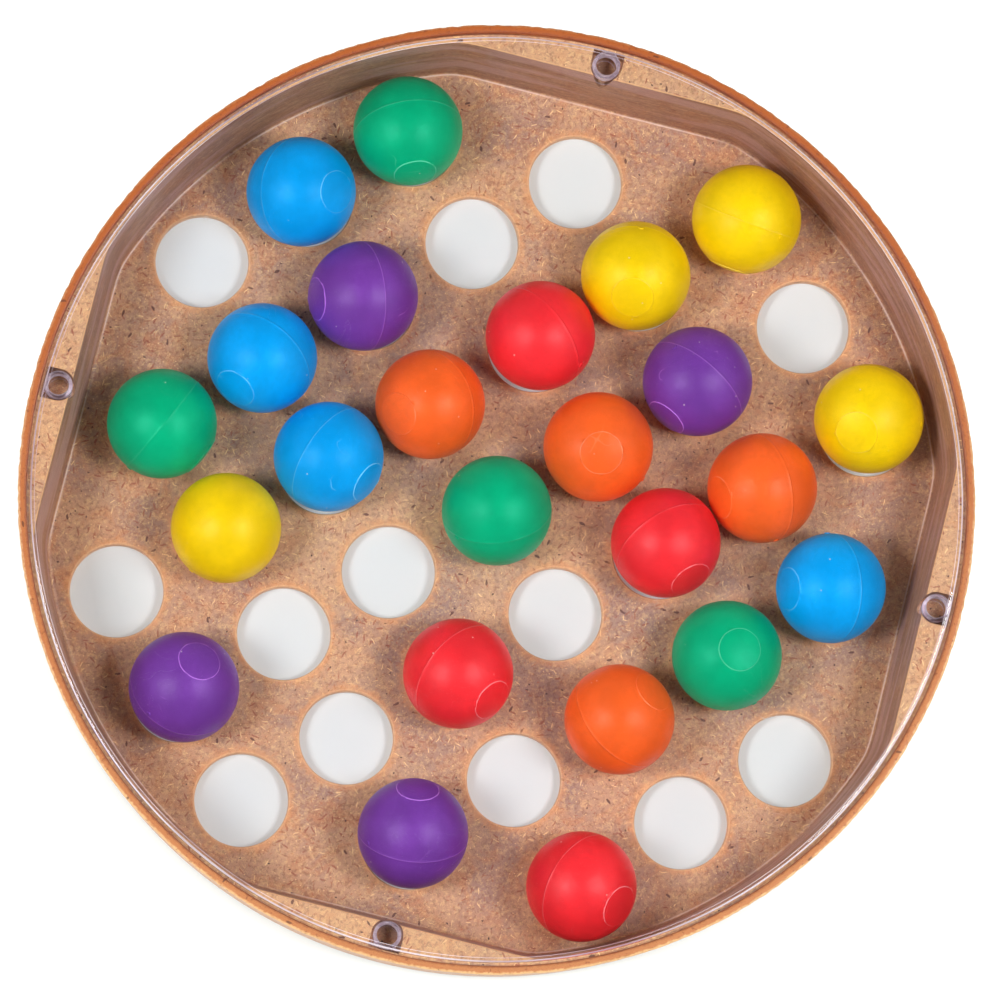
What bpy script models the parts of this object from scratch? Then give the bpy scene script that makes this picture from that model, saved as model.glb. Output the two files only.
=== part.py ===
"""Round travel board for a marble jumping game.

A moulded tray holds a square grid of holes with the corners left off.  Loose
coloured balls stand in the holes, and a clear disc lid drops inside the rim,
where four hollow pins under it plug into slots in four straight ledges.

Frame: origin at the middle of the tray's underside, +Z up, +X along the rows
of holes.  Everything is in metres.
"""

import math

import bmesh
import bpy
from mathutils import Matrix, Vector

MM = 0.001

# Grid of holes: how far the row at each distance from the middle reaches
PITCH = 18.0 * MM
ROW_REACH = {0: 3, 1: 3, 2: 2, 3: 1}
HOLE_RADIUS = 6.9 * MM

# Tray
TRAY_HEIGHT = 18.8 * MM
RIM_RADIUS = 70.0 * MM
RIM_WALL = 1.3 * MM
BASE_RADIUS = 69.0 * MM
FLOOR_THICKNESS = 2.1 * MM
SEAT_HEIGHT = 17.2 * MM
WELL_RADIUS_AT_FLOOR = 66.2 * MM
WELL_RADIUS_AT_SEAT = 67.8 * MM
LEDGE_FACE_AT_FLOOR = 62.7 * MM
LEDGE_FACE_AT_SEAT = 64.35 * MM
RIM_ROUNDING = 0.4 * MM
BASE_ROUNDING = 1.0 * MM

# Lid and the four pins that plug it into the ledges
LID_RADIUS = 68.2 * MM
LID_THICKNESS = 1.3 * MM
LID_CHAMFER = 0.5 * MM
REST_GAP = 0.2 * MM
PIN_CIRCLE_RADIUS = 66.15 * MM
PIN_RADIUS = 2.05 * MM
PIN_BORE_RADIUS = 1.55 * MM
PIN_LENGTH = 4.6 * MM
PIN_BORE_ROOF = 0.5 * MM
PIN_CLEARANCE = 0.3 * MM
SLOT_DEPTH = 5.2 * MM
SLOT_END_RADIUS = 68.4 * MM
PIN_ANGLES = [math.radians(45 + 90 * turn) for turn in range(4)]

# Balls
BALL_RADIUS = 8.1 * MM

# How round the round things are
RIM_STEPS = 96
HOLE_STEPS = 24
PIN_STEPS = 16
ARC_STEPS = 3
BALL_SUBDIVISIONS = 3

# How far a cutter runs past the face it breaks through
OVERCUT = 1.0 * MM

# Each colour's balls as (column, row, lean).  The lean is how far, in mm along
# X and Y, the ball has rolled off the middle of its hole: a hole is slightly
# wide for a ball that stands on the table through the thin floor.
BALLS = {
    "green": [
        (1, 3, (-0.3, 0.5)),
        (-2, 2, (0.0, -0.7)),
        (0, 0, (-0.2, -0.9)),
        (1, -2, (-0.1, -0.6)),
    ],
    "blue": [
        (0, 3, (-0.6, 0.7)),
        (-1, 2, (-0.3, 0.2)),
        (-1, 1, (0.6, 0.6)),
        (2, -2, (0.3, 0.1)),
    ],
    "purple": [
        (0, 2, (-0.7, 0.6)),
        (2, 0, (-0.7, 0.5)),
        (-3, 0, (0.9, 0.1)),
        (-2, -2, (0.7, 0.5)),
    ],
    "yellow": [
        (-2, 1, (0.2, -0.8)),
        (2, 1, (-0.4, 0.7)),
        (3, 1, (0.2, -0.4)),
        (3, -1, (0.3, 0.8)),
    ],
    "orange": [
        (0, 1, (-0.5, -0.3)),
        (1, 0, (-0.4, -0.4)),
        (2, -1, (-0.7, 0.0)),
        (0, -2, (-0.6, -0.6)),
    ],
    "red": [
        (1, 1, (0.8, 0.2)),
        (1, -1, (0.8, 0.3)),
        (-1, -1, (0.5, -0.7)),
        (-1, -3, (-0.1, -0.8)),
    ],
}

# Material colours (linear) and roughness
TRAY_COLOUR = (0.40, 0.20, 0.12, 1.0)
LID_COLOUR = (0.90, 0.88, 0.92, 0.25)
BALL_COLOURS = {
    "green": (0.000, 0.350, 0.130, 1.0),
    "blue": (0.000, 0.270, 0.800, 1.0),
    "purple": (0.110, 0.025, 0.300, 1.0),
    "yellow": (1.000, 0.600, 0.000, 1.0),
    "orange": (1.000, 0.090, 0.010, 1.0),
    "red": (0.800, 0.020, 0.025, 1.0),
}


# ---------------------------------------------------------------- helpers

def clear_scene():
    """Remove every object, so that the script always starts from nothing."""
    for old in list(bpy.data.objects):
        bpy.data.objects.remove(old, do_unlink=True)


def new_collection(name):
    """Add a collection to the scene."""
    made = bpy.data.collections.new(name)
    bpy.context.scene.collection.children.link(made)
    return made


def new_material(name, colour, roughness):
    """Make a Principled material."""
    made = bpy.data.materials.new(name)
    made.use_nodes = True
    made.diffuse_color = colour
    shader = made.node_tree.nodes["Principled BSDF"]
    shader.inputs["Base Color"].default_value = colour
    shader.inputs["Alpha"].default_value = colour[3]
    shader.inputs["Roughness"].default_value = roughness
    shader.inputs["Metallic"].default_value = 0.0
    return made


def object_from_bmesh(name, shape, collection):
    """Turn a bmesh into an object."""
    mesh = bpy.data.meshes.new(name)
    shape.to_mesh(mesh)
    shape.free()
    made = bpy.data.objects.new(name, mesh)
    collection.objects.link(made)
    return made


def as_cutter(piece):
    """Show an object as a wire guide that is left out of the model."""
    piece.hide_render = True
    piece.display_type = "WIRE"
    return piece


def turned(name, profile, steps, collection):
    """Turn a profile of (radius, height) points about Z.

    The profile starts and ends on the axis and runs down its outer side.
    """
    mesh = bpy.data.meshes.new(name)
    points = [(radius, 0.0, height) for radius, height in profile]
    links = [(index, index + 1) for index in range(len(points) - 1)]
    mesh.from_pydata(points, links, [])
    made = bpy.data.objects.new(name, mesh)
    collection.objects.link(made)
    screw = made.modifiers.new("turn", "SCREW")
    screw.axis = "Z"
    screw.steps = steps
    screw.render_steps = steps
    screw.use_merge_vertices = True
    screw.merge_threshold = 0.00001
    return made


def rounded_corner(centre, radius, start, end):
    """Points of an arc about centre, from the start angle to the end angle."""
    points = []
    for step in range(ARC_STEPS + 1):
        angle = start + (end - start) * step / ARC_STEPS
        across = centre[0] + radius * math.cos(angle)
        up = centre[1] + radius * math.sin(angle)
        points.append((across, up))
    return points


def frustum(name, steps, lower, upper, bottom, top, collection):
    """An upright cone stub from radius lower at bottom to radius upper at top."""
    shape = bmesh.new()
    bmesh.ops.create_cone(
        shape,
        cap_ends=True,
        segments=steps,
        radius1=lower,
        radius2=upper,
        depth=top - bottom,
        matrix=Matrix.Translation((0, 0, (bottom + top) / 2)),
    )
    return object_from_bmesh(name, shape, collection)


def posts(name, spots, radius, bottom, top, steps, collection):
    """Upright cylinders at several spots, as one mesh."""
    shape = bmesh.new()
    for spot in spots:
        bmesh.ops.create_cone(
            shape,
            cap_ends=True,
            segments=steps,
            radius1=radius,
            radius2=radius,
            depth=top - bottom,
            matrix=Matrix.Translation((spot[0], spot[1], (bottom + top) / 2)),
        )
    return object_from_bmesh(name, shape, collection)


def boolean(target, other, operation):
    """Cut, join or intersect target with another object."""
    step = target.modifiers.new(other.name, "BOOLEAN")
    step.operation = operation
    step.solver = "EXACT"
    step.object = other


def finish(piece, material):
    """Give a piece its material and smooth shading."""
    piece.data.materials.append(material)
    piece.data.shade_smooth()


# ---------------------------------------------------------------- layout

def hole_spots():
    """Middles of all the holes."""
    spots = []
    for row in range(-3, 4):
        reach = ROW_REACH[abs(row)]
        for column in range(-reach, reach + 1):
            spots.append((column * PITCH, row * PITCH))
    return spots


def pin_spots():
    """Middles of the four pins, on the grid's diagonals."""
    spots = []
    for angle in PIN_ANGLES:
        across = PIN_CIRCLE_RADIUS * math.cos(angle)
        along = PIN_CIRCLE_RADIUS * math.sin(angle)
        spots.append((across, along))
    return spots


# ---------------------------------------------------------------- tray

def tray_profile():
    """Outside of the tray with the lid's recess, before the well is cut."""
    recess = RIM_RADIUS - RIM_WALL
    rim_centre = (RIM_RADIUS - RIM_ROUNDING, TRAY_HEIGHT - RIM_ROUNDING)
    base_centre = (BASE_RADIUS - BASE_ROUNDING, BASE_ROUNDING)
    profile = [(0.0, SEAT_HEIGHT), (recess, SEAT_HEIGHT), (recess, TRAY_HEIGHT)]
    profile += rounded_corner(rim_centre, RIM_ROUNDING, math.pi / 2, 0.0)
    profile += rounded_corner(base_centre, BASE_ROUNDING, 0.0, -math.pi / 2)
    profile.append((0.0, 0.0))
    return profile


def well_radius(at_floor, at_seat, height):
    """Radius of a drafted wall at a height, on the line through floor and seat."""
    slope = (at_seat - at_floor) / (SEAT_HEIGHT - FLOOR_THICKNESS)
    return at_floor + slope * (height - FLOOR_THICKNESS)


def make_well(cutters):
    """The hollow above the floor: a round cone flattened by the four ledges."""
    top = SEAT_HEIGHT + OVERCUT
    round_top = well_radius(WELL_RADIUS_AT_FLOOR, WELL_RADIUS_AT_SEAT, top)
    square_top = well_radius(LEDGE_FACE_AT_FLOOR, LEDGE_FACE_AT_SEAT, top)
    corner = math.sqrt(2)
    square = frustum(
        "well_square",
        4,
        LEDGE_FACE_AT_FLOOR * corner,
        square_top * corner,
        FLOOR_THICKNESS,
        top,
        cutters,
    )
    well = frustum(
        "well_round",
        RIM_STEPS,
        WELL_RADIUS_AT_FLOOR,
        round_top,
        FLOOR_THICKNESS,
        top,
        cutters,
    )
    boolean(well, as_cutter(square), "INTERSECT")
    return as_cutter(well)


def make_slot_ends(cutters):
    """Straight outer half of each slot, from the pin's middle almost to the rim."""
    width = 2 * (PIN_RADIUS + PIN_CLEARANCE)
    length = SLOT_END_RADIUS - PIN_CIRCLE_RADIUS
    bottom = SEAT_HEIGHT - SLOT_DEPTH
    top = SEAT_HEIGHT + OVERCUT
    shape = bmesh.new()
    for angle in PIN_ANGLES:
        middle = Vector((PIN_CIRCLE_RADIUS + length / 2, 0, (bottom + top) / 2))
        place = Matrix.Rotation(angle, 4, "Z") @ Matrix.Translation(middle)
        size = Matrix.Diagonal((length, width, top - bottom, 1))
        bmesh.ops.create_cube(shape, size=1.0, matrix=place @ size)
    return as_cutter(object_from_bmesh("slot_ends", shape, cutters))


def make_tray(parts, cutters, material):
    """The tray: rim, well, four ledges with pin slots, and the holes."""
    tray = turned("tray", tray_profile(), RIM_STEPS, parts)
    boolean(tray, make_well(cutters), "DIFFERENCE")
    holes = posts(
        "holes",
        hole_spots(),
        HOLE_RADIUS,
        -OVERCUT,
        FLOOR_THICKNESS + OVERCUT,
        HOLE_STEPS,
        cutters,
    )
    boolean(tray, as_cutter(holes), "DIFFERENCE")
    slots = posts(
        "slots",
        pin_spots(),
        PIN_RADIUS + PIN_CLEARANCE,
        SEAT_HEIGHT - SLOT_DEPTH,
        SEAT_HEIGHT + OVERCUT,
        PIN_STEPS,
        cutters,
    )
    boolean(tray, as_cutter(slots), "DIFFERENCE")
    boolean(tray, make_slot_ends(cutters), "DIFFERENCE")
    finish(tray, material)
    return tray


# ---------------------------------------------------------------- lid

def make_lid(parts, cutters, material):
    """A clear disc with four hollow pins below it, resting on the seat."""
    bottom = SEAT_HEIGHT + REST_GAP
    top = bottom + LID_THICKNESS
    profile = [
        (0.0, top),
        (LID_RADIUS - LID_CHAMFER, top),
        (LID_RADIUS, top - LID_CHAMFER),
        (LID_RADIUS, bottom),
        (0.0, bottom),
    ]
    lid = turned("lid", profile, RIM_STEPS, parts)
    pin_end = bottom - PIN_LENGTH
    inside_plate = bottom + LID_THICKNESS / 2
    pins = posts("pins", pin_spots(), PIN_RADIUS, pin_end, inside_plate, PIN_STEPS, cutters)
    boolean(lid, as_cutter(pins), "UNION")
    bores = posts(
        "pin_bores",
        pin_spots(),
        PIN_BORE_RADIUS,
        pin_end - OVERCUT,
        top - PIN_BORE_ROOF,
        PIN_STEPS,
        cutters,
    )
    boolean(lid, as_cutter(bores), "DIFFERENCE")
    finish(lid, material)
    return lid


# ---------------------------------------------------------------- balls

def ball_mesh(colour, material):
    """One ball, shared by all the balls of its colour."""
    shape = bmesh.new()
    bmesh.ops.create_icosphere(
        shape, subdivisions=BALL_SUBDIVISIONS, radius=BALL_RADIUS
    )
    mesh = bpy.data.meshes.new("ball_" + colour)
    shape.to_mesh(mesh)
    shape.free()
    mesh.materials.append(material)
    mesh.shade_smooth()
    return mesh


def make_balls(parts):
    """Stand every ball on the table in its hole."""
    for colour, places in BALLS.items():
        material = new_material("ball_" + colour, BALL_COLOURS[colour], 0.35)
        mesh = ball_mesh(colour, material)
        for number, (column, row, lean) in enumerate(places, start=1):
            ball = bpy.data.objects.new(f"ball_{colour}_{number}", mesh)
            across = column * PITCH + lean[0] * MM
            along = row * PITCH + lean[1] * MM
            ball.location = (across, along, BALL_RADIUS)
            parts.objects.link(ball)


# ---------------------------------------------------------------- build

def main():
    """Build the whole board."""
    clear_scene()
    parts = new_collection("travel_marble_board")
    cutters = new_collection("cutters")
    make_tray(parts, cutters, new_material("tray", TRAY_COLOUR, 0.55))
    make_lid(parts, cutters, new_material("lid", LID_COLOUR, 0.08))
    make_balls(parts)


main()
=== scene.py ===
"""Looks for the travel marble board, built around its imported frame."""

import math

import bmesh
import bpy
from mathutils import Matrix, Vector, noise


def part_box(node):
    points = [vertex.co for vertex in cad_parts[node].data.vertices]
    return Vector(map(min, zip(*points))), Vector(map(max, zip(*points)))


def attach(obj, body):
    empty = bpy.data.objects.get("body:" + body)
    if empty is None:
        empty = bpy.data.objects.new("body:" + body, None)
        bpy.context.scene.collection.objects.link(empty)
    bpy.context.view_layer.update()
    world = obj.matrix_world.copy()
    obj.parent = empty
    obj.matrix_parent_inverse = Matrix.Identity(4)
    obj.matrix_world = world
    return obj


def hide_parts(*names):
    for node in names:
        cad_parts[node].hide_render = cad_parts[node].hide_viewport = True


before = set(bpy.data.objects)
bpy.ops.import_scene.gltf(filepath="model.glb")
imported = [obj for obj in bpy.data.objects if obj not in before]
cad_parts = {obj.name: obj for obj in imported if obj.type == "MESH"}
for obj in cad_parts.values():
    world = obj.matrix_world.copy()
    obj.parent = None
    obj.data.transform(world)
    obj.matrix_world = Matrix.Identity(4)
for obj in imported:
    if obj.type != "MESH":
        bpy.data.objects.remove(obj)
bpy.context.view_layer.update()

MM = 0.001

# ---------------------------------------------------------------- sizes
# The tray and the lid follow the CAD's own dimensions; the overall ones are
# read from the frame.

TRAY_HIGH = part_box("tray")[1]
LID_LOW, LID_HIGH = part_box("lid")
RIM_RADIUS = TRAY_HIGH.x
TRAY_HEIGHT = TRAY_HIGH.z

PITCH = 18.0 * MM
ROW_REACH = {0: 3, 1: 3, 2: 2, 3: 1}
HOLE_REACH = 3.4  # in pitches: every hole's middle is nearer the board's than this
HOLE_RADIUS = 6.9 * MM
RIM_WALL = 1.3 * MM
BASE_RADIUS = RIM_RADIUS - 1.0 * MM
FLOOR_THICKNESS = 2.1 * MM
SEAT_HEIGHT = 17.2 * MM
WELL_RADIUS_AT_FLOOR = 66.2 * MM
WELL_RADIUS_AT_SEAT = 67.8 * MM
LEDGE_FACE_AT_FLOOR = 62.7 * MM
LEDGE_FACE_AT_SEAT = 64.35 * MM
RIM_ROUNDING = 0.4 * MM
BASE_ROUNDING = 1.0 * MM

LID_RADIUS = LID_HIGH.x
LID_THICKNESS = 1.3 * MM
LID_CHAMFER = 0.25 * MM
LID_LINE = 0.65 * MM
LINE_WIDTH = 0.06 * MM
PIN_CIRCLE_RADIUS = 66.15 * MM
PIN_RADIUS = 2.05 * MM
PIN_BORE_RADIUS = 1.55 * MM
PIN_BORE_ROOF = 0.5 * MM
PIN_CLEARANCE = 0.3 * MM
PIN_FROST_AND_HIGHLIGHT = 1.7 * MM
SLOT_DEPTH = 5.2 * MM
SLOT_END_RADIUS = 68.4 * MM
PIN_ANGLES = [math.radians(45 + 90 * turn) for turn in range(4)]

HOLE_ROUNDING = 0.3 * MM
LEDGE_CHAMFER = 0.2 * MM
RIM_INNER_ROUNDING = 0.25 * MM
SEAT_FILLET = 0.1 * MM
CORNER_EASING = 0.3 * MM
WELL_FILLET = 0.7 * MM
EJECTOR_RADIUS = 3.0 * MM
EJECTOR_DEPTH = 0.05 * MM
RIM_ROUGHNESS = 0.10 * MM
# Direction of the side of the rim that is painted as shade
RIM_PAINTED_SHADE_SIDE = (math.cos(math.radians(65)), math.sin(math.radians(65)), 0.0)
OVERCUT = 1.0 * MM

RIM_STEPS = 1200
HOLE_STEPS = 72
PIN_STEPS = 48
ARC_STEPS = 6
SIDE_STEPS = 10

BALL_STEPS = 96
BALL_RADIUS = 8.1 * MM
DISC_RADIUS = 0.385
DISC_HEIGHT = 0.936
DISC_CROWN = 0.05
PARTING_HEIGHT = 0.035 * MM
LIP_BAND = 0.12 * MM
LIP_RAGGEDNESS = 0.25 * MM
RIDGE_BAND = 0.06 * MM
GATE_RADIUS = 0.42 * MM
GATE_SINK = 0.1 * MM
GATE_HEIGHT = 0.5 * MM
GATE_STANDOFF = 0.22 * MM

COLOURS = ("green", "blue", "purple", "yellow", "orange", "red")

# How each ball has come to rest: azimuth and height of its round moulding
# mark, and turn of its gate mark about that axis, in degrees. The last number
# is how worn its marks are, from 0 to 1.
BALL_TURNS = {
    "ball_green_1": (-113, 23, 70, 1.0),
    "ball_green_2": (-70, -7, -83, 0.4),
    "ball_green_3": (-112, -43, -124, 0.4),
    "ball_green_4": (-29, 80, -62, 0.9),
    "ball_blue_1": (-42, 47, 30, 0.6),
    "ball_blue_2": (-159, 31, 20, 0.6),
    "ball_blue_3": (-67, 22, 60, 1.0),
    "ball_blue_4": (154, 28, -98, 0.6),
    "ball_purple_1": (157, 21, 40, 1.0),
    "ball_purple_2": (-161, 13, -136, 1.0),
    "ball_purple_3": (24, 60, 168, 1.0),
    "ball_purple_4": (54, 36, 126, 1.0),
    "ball_yellow_1": (20, -85, 0, 0.2),
    "ball_yellow_2": (-133, 55, -174, 0.2),
    "ball_yellow_3": (-141, -14, 136, 0.4),
    "ball_yellow_4": (-160, 59, 126, 0.25),
    "ball_orange_1": (174, 45, 10, 0.15),
    "ball_orange_2": (-121, 75, 55, 0.5),
    "ball_orange_3": (165, 25, 94, 0.15),
    "ball_orange_4": (7, 40, 50, 0.2),
    "ball_red_1": (7, -20, -114, 0.2),
    "ball_red_2": (-91, 27, 15, 0.6),
    "ball_red_3": (-73, 32, 35, 0.7),
    "ball_red_4": (-63, 36, 25, 0.7),
}

# Camera: where it looks, and from where
CAMERA_TARGET = Vector((2.0 * MM, 1.0 * MM, 0.0))
CAMERA_AZIMUTH = -50.9
CAMERA_ELEVATION = 81.7
CAMERA_ROLL = 20.1
CAMERA_DISTANCE = 1.082
CAMERA_LENS = 262.3

# Light: two softboxes either side of the camera, a dim ceiling, a paler
# surround lower down that is dimmer again at the horizon, and a white table
# that glows. The surround's limits are heights on a sphere of radius 1.
SOFTBOX_LEAN = 33.0
SOFTBOX_DISTANCE = 0.75
SOFTBOX_SIZE = 0.22
SOFTBOX_POWER = 4.0
CEILING_GLOW = 0.015
SURROUND_GLOW = 0.82
HORIZON_SHARE = 0.45
CEILING_FROM = 0.35
CEILING_TO = 0.92
HORIZON_FROM = 0.15
HORIZON_TO = 0.50
TABLE_GLOW = 0.60
HOLE_GLOW = 0.18
TABLE_REACH = 3.0
TABLE_DROP = 0.02 * MM


# ---------------------------------------------------------------- mesh helpers

def link(thing):
    """Put an object in the scene."""
    bpy.context.scene.collection.objects.link(thing)
    return thing


def object_from_bmesh(name, shape):
    """Turn a bmesh into an object."""
    mesh = bpy.data.meshes.new(name)
    shape.to_mesh(mesh)
    shape.free()
    return link(bpy.data.objects.new(name, mesh))


def turned(name, profile, steps):
    """Turn a profile of (radius, height) points about Z, top to bottom."""
    mesh = bpy.data.meshes.new(name)
    points = [(radius, 0.0, height) for radius, height in profile]
    links = [(index, index + 1) for index in range(len(points) - 1)]
    mesh.from_pydata(points, links, [])
    made = link(bpy.data.objects.new(name, mesh))
    screw = made.modifiers.new("turn", "SCREW")
    screw.axis = "Z"
    screw.steps = steps
    screw.render_steps = steps
    screw.use_merge_vertices = True
    screw.merge_threshold = 0.000001
    return made


def arc(centre, radius, start, end, steps):
    """Points of an arc about centre, from the start angle to the end angle."""
    points = []
    for step in range(steps + 1):
        angle = start + (end - start) * step / steps
        across = centre[0] + radius * math.cos(angle)
        up = centre[1] + radius * math.sin(angle)
        points.append((across, up))
    return points


def posts(name, spots, radius, bottom, top, steps):
    """Upright cylinders at several spots, as one mesh."""
    shape = bmesh.new()
    for spot in spots:
        bmesh.ops.create_cone(
            shape,
            cap_ends=True,
            segments=steps,
            radius1=radius,
            radius2=radius,
            depth=top - bottom,
            matrix=Matrix.Translation((spot[0], spot[1], (bottom + top) / 2)),
        )
    return object_from_bmesh(name, shape)


def boolean(target, other, operation):
    """Cut, join or intersect target with another object."""
    step = target.modifiers.new(other.name, "BOOLEAN")
    step.operation = operation
    step.solver = "EXACT"
    step.object = other


def applied(piece, helpers):
    """Freeze a piece's modifiers into its mesh and remove the helpers."""
    graph = bpy.context.evaluated_depsgraph_get()
    graph.update()
    mesh = bpy.data.meshes.new_from_object(piece.evaluated_get(graph))
    piece.modifiers.clear()
    piece.data = mesh
    for helper in helpers:
        bpy.data.objects.remove(helper, do_unlink=True)
    return piece


def carve(piece, cutters, operation="DIFFERENCE"):
    """Cut, join or intersect a piece with closed meshes, one after another.

    It's done at a thousand times the size, clear of the solver's merging distances.
    """
    larger = Matrix.Scale(1 / MM, 4)
    applied(piece, [])
    for thing in [piece, *cutters]:
        thing.data.transform(larger)
    for cutter in cutters:
        boolean(piece, cutter, operation)
    applied(piece, cutters)
    piece.data.transform(larger.inverted())
    return piece


def smooth(piece, degrees):
    """Shade smooth, but keep sharp edges sharp and large faces flat."""
    piece.data.shade_smooth()
    piece.data.set_sharp_from_angle(angle=math.radians(degrees))
    step = piece.modifiers.new("normals", "WEIGHTED_NORMAL")
    step.keep_sharp = True
    applied(piece, [])


# ---------------------------------------------------------------- node helpers

class Nodes:
    """A short way to write a material's node tree."""

    def __init__(self, name):
        self.material = bpy.data.materials.new(name)
        self.material.use_nodes = True
        self.tree = self.material.node_tree
        self.shader = self.tree.nodes["Principled BSDF"]
        self.output = self.tree.nodes["Material Output"]

    def add(self, kind, **settings):
        """Add a node and set its properties."""
        node = self.tree.nodes.new(kind)
        for key, value in settings.items():
            setattr(node, key, value)
        return node

    def feed(self, socket, value):
        """Set a socket, or link it to another node's output."""
        if isinstance(value, bpy.types.NodeSocket):
            self.tree.links.new(value, socket)
        else:
            socket.default_value = value

    def math(self, operation, first, second=0.0):
        """A maths node."""
        node = self.add("ShaderNodeMath", operation=operation)
        self.feed(node.inputs[0], first)
        self.feed(node.inputs[1], second)
        return node.outputs[0]

    def vector(self, operation, first, second=(0, 0, 0)):
        """A vector maths node."""
        node = self.add("ShaderNodeVectorMath", operation=operation)
        self.feed(node.inputs[0], first)
        self.feed(node.inputs["Scale" if operation == "SCALE" else 1], second)
        single = operation in ("LENGTH", "DOT_PRODUCT")
        return node.outputs["Value" if single else "Vector"]

    def split(self, vector):
        """The three parts of a vector."""
        node = self.add("ShaderNodeSeparateXYZ")
        self.feed(node.inputs[0], vector)
        return node.outputs

    def join(self, x, y, z):
        """A vector from three parts."""
        node = self.add("ShaderNodeCombineXYZ")
        for socket, value in zip(node.inputs, (x, y, z)):
            self.feed(socket, value)
        return node.outputs[0]

    def noise(self, place, scale, detail=2.0, roughness=0.5, distortion=0.0):
        """Noise from 0 to 1; scale is features per metre."""
        node = self.add("ShaderNodeTexNoise")
        self.feed(node.inputs["Vector"], place)
        self.feed(node.inputs["Scale"], scale)
        self.feed(node.inputs["Detail"], detail)
        self.feed(node.inputs["Roughness"], roughness)
        self.feed(node.inputs["Distortion"], distortion)
        return node.outputs["Fac"]

    def warped(self, place, scale, amount):
        """The place, pushed about by noise, so that shapes made there look natural."""
        node = self.add("ShaderNodeTexNoise")
        self.feed(node.inputs["Vector"], place)
        self.feed(node.inputs["Scale"], scale)
        node.inputs["Detail"].default_value = 2.0
        push = self.vector("SUBTRACT", node.outputs["Color"], (0.5, 0.5, 0.5))
        return self.vector("ADD", place, self.vector("SCALE", push, amount))

    def cells(self, place, scale):
        """Voronoi cells: distance to the cell's point, and its random colour."""
        node = self.add("ShaderNodeTexVoronoi")
        self.feed(node.inputs["Vector"], place)
        self.feed(node.inputs["Scale"], scale)
        return node.outputs["Distance"], node.outputs["Color"]

    def fibres(self, place, spacing, length, width, share):
        """Short fibres in the XY plane of place, one in some cells: 1 inside them.

        spacing, and the half sizes length and width, are in metres.
        """
        cells = self.add("ShaderNodeTexVoronoi", voronoi_dimensions="2D")
        self.feed(cells.inputs["Vector"], place)
        self.feed(cells.inputs["Scale"], 1 / spacing)
        middle = cells.outputs["Position"]
        away = self.vector("SUBTRACT", place, middle)
        centred = self.vector("SUBTRACT", cells.outputs["Color"], (0.5, 0.5, 0.5))
        flat = self.vector("MULTIPLY", centred, (1.0, 1.0, 0.0))
        direction = self.vector("NORMALIZE", flat)
        along = self.vector("DOT_PRODUCT", away, direction)
        rest = self.vector("SUBTRACT", away, self.vector("SCALE", direction, along))
        lengthwise = self.math("DIVIDE", along, length)
        sideways = self.math("DIVIDE", self.vector("LENGTH", rest), width)
        inside = self.math(
            "ADD",
            self.math("MULTIPLY", lengthwise, lengthwise),
            self.math("MULTIPLY", sideways, sideways),
        )
        draw = self.add("ShaderNodeTexWhiteNoise", noise_dimensions="3D")
        self.feed(draw.inputs["Vector"], middle)
        chosen = self.math("LESS_THAN", draw.outputs["Value"], share)
        return self.math("MULTIPLY", self.ramp(inside, 1.0, 0.7), chosen)

    def ramp(self, value, low, high):
        """0 below low, 1 above high, smooth between; low may be above high."""
        node = self.add("ShaderNodeMapRange", interpolation_type="SMOOTHSTEP")
        self.feed(node.inputs["Value"], value)
        node.inputs["From Min"].default_value = min(low, high)
        node.inputs["From Max"].default_value = max(low, high)
        node.inputs["To Min"].default_value = 0.0 if low < high else 1.0
        node.inputs["To Max"].default_value = 1.0 if low < high else 0.0
        return node.outputs["Result"]

    def blend(self, factor, first, second):
        """Mix two colours."""
        node = self.add("ShaderNodeMix", data_type="RGBA")
        self.feed(node.inputs["Factor"], factor)
        self.feed(node.inputs[6], first)
        self.feed(node.inputs[7], second)
        return node.outputs[2]

    def bump(self, height, distance, strength=1.0, normal=None):
        """A bump; distance is in metres."""
        node = self.add("ShaderNodeBump")
        self.feed(node.inputs["Height"], height)
        self.feed(node.inputs["Distance"], distance)
        self.feed(node.inputs["Strength"], strength)
        if normal is not None:
            self.feed(node.inputs["Normal"], normal)
        return node.outputs["Normal"]

    def set(self, **values):
        """Set or link the Principled shader's inputs, named with underscores."""
        for key, value in values.items():
            self.feed(self.shader.inputs[key.replace("_", " ")], value)


def srgb(red, green, blue):
    """A colour given as 0 to 255 sRGB values, as linear RGBA."""
    linear = []
    for part in (red, green, blue):
        share = part / 255
        if share <= 0.04045:
            linear.append(share / 12.92)
        else:
            linear.append(((share + 0.055) / 1.055) ** 2.4)
    return (*linear, 1.0)


# ---------------------------------------------------------------- layout

def hole_spots():
    """Middles of all the holes."""
    spots = []
    for row in range(-3, 4):
        reach = ROW_REACH[abs(row)]
        for column in range(-reach, reach + 1):
            spots.append((column * PITCH, row * PITCH))
    return spots


def ring_spots(radius, angles):
    """Points on a circle."""
    return [(radius * math.cos(a), radius * math.sin(a)) for a in angles]


def ejector_spots():
    """Middles of the eight ejector marks, in pairs on the four straight sides."""
    near = PITCH / 2
    far = 3.44 * PITCH
    spots = []
    for side in (-1, 1):
        for step in (-1, 1):
            spots.append((side * far, step * near))
            spots.append((step * near, side * far))
    return spots


# ---------------------------------------------------------------- tray

def wall_at(at_floor, at_seat, height):
    """Distance of a drafted wall from the middle, at a height."""
    slope = (at_seat - at_floor) / (SEAT_HEIGHT - FLOOR_THICKNESS)
    return at_floor + slope * (height - FLOOR_THICKNESS)


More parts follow.
